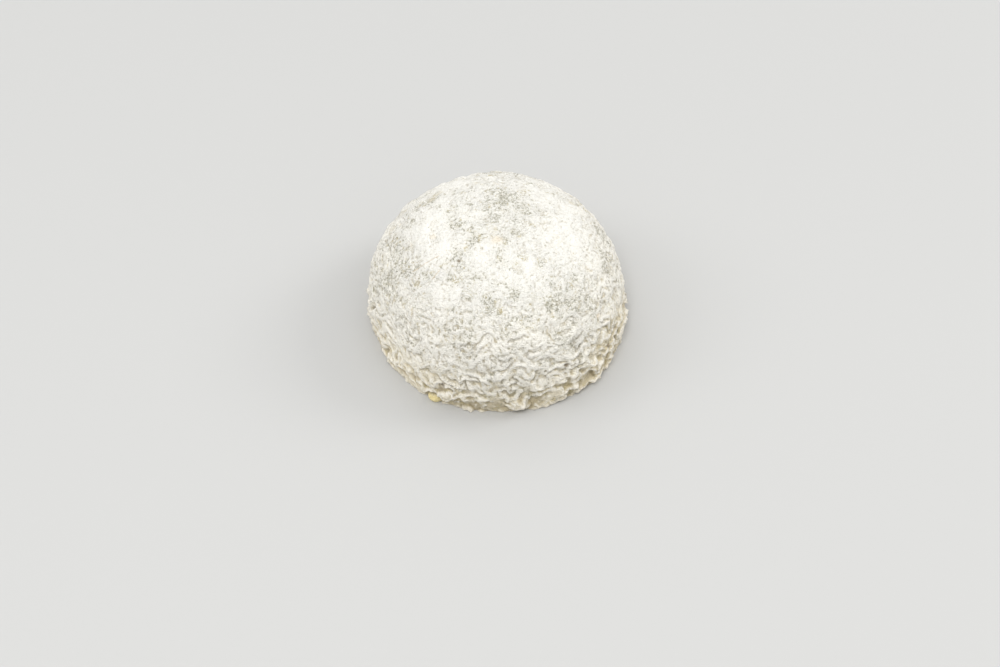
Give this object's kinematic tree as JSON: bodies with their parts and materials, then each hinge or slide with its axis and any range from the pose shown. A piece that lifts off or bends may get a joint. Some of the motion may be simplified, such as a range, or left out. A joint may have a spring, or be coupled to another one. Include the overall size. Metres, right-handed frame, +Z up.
{
  "type": "ash-coated goat cheese dome",
  "caption": "Small dome-shaped goat cheese with a wrinkled pale rind over ash, resting on its flat foot.",
  "frame": {"origin": "middle of the flat foot, on the surface that the cheese stands on", "axes": "+Z up through the crown; the side in the picture faces -Y"},
  "size_m": [0.0927, 0.0968, 0.0489],
  "materials": {
    "ash_rind": "matte, dry, downy mould rind, off-white with grey ash in its creases"
  },
  "bodies": {
    "root": {"goat_cheese_dome": "ash_rind"}
  },
  "joints": []
}
